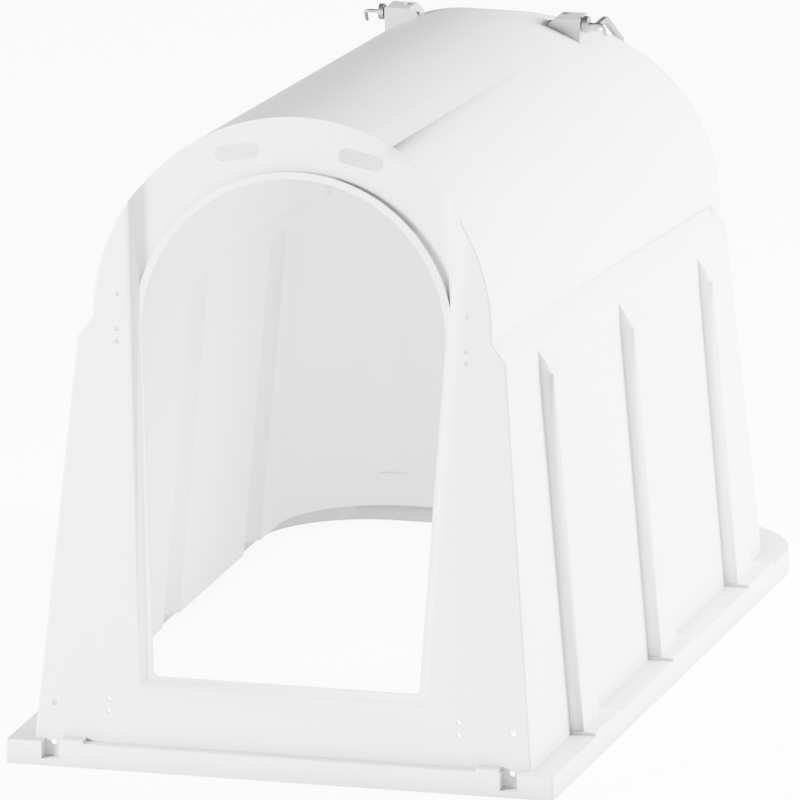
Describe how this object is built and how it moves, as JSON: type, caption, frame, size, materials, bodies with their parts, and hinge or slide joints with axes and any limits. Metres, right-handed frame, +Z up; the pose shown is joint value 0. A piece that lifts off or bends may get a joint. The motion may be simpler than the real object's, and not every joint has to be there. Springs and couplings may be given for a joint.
{
  "type": "calf hutch",
  "caption": "Moulded plastic animal hutch with a vaulted sloping roof, arched doorway, ribbed sides, base flange and a hinged rear hatch.",
  "frame": {"origin": "centre of the base flange's box, on the ground", "axes": "+Y to the rear along the ridge, +X to the right seen from the doorway, +Z up"},
  "size_m": [1.2, 2.215, 1.4028],
  "materials": {
    "white_shell": "satin",
    "grey_block": "matte",
    "dark_steel": "dark",
    "zinc_fastener": "zinc"
  },
  "bodies": {
    "hutch": {"hutch_shell": "white_shell", "hinge_bracket_left": "grey_block", "hinge_bracket_right": "grey_block", "bracket_bolts": "zinc_fastener", "bracket_washers": "zinc_fastener", "bracket_nuts": "zinc_fastener", "button_bolts": "zinc_fastener", "button_washers": "zinc_fastener", "button_nuts": "zinc_fastener"},
    "hatch": {"hatch_lid": "white_shell", "hinge_strap_left": "dark_steel", "hinge_strap_right": "dark_steel", "strap_bolts": "zinc_fastener", "strap_washers": "zinc_fastener", "strap_nuts": "zinc_fastener"},
    "pin_left": {"hinge_pin_left": "dark_steel"},
    "pin_right": {"hinge_pin_right": "dark_steel"},
    "button_left": {"turn_button_left": "grey_block"},
    "button_right": {"turn_button_right": "grey_block"}
  },
  "joints": [
    {"name": "hatch_hinge", "type": "hinge", "parent": "hutch", "child": "hatch", "pos_m": [0, 0.5565, 1.278], "axis": [1, 0, 0], "range_deg": [0, 130]},
    {"name": "pin_left_slide", "type": "slide", "parent": "hutch", "child": "pin_left", "axis": [-1, 0, 0], "range_m": [0, 0.1]},
    {"name": "pin_right_slide", "type": "slide", "parent": "hutch", "child": "pin_right", "axis": [1, 0, 0], "range_m": [0, 0.1]},
    {"name": "button_left_turn", "type": "hinge", "parent": "hutch", "child": "button_left", "pos_m": [-0.105, 1.00717, 0.90272], "axis": [0, 0.9744, 0.225], "range_deg": [0, 90]},
    {"name": "button_right_turn", "type": "hinge", "parent": "hutch", "child": "button_right", "pos_m": [0.105, 1.00717, 0.90272], "axis": [0, -0.9744, -0.225], "range_deg": [0, 90]}
  ]
}
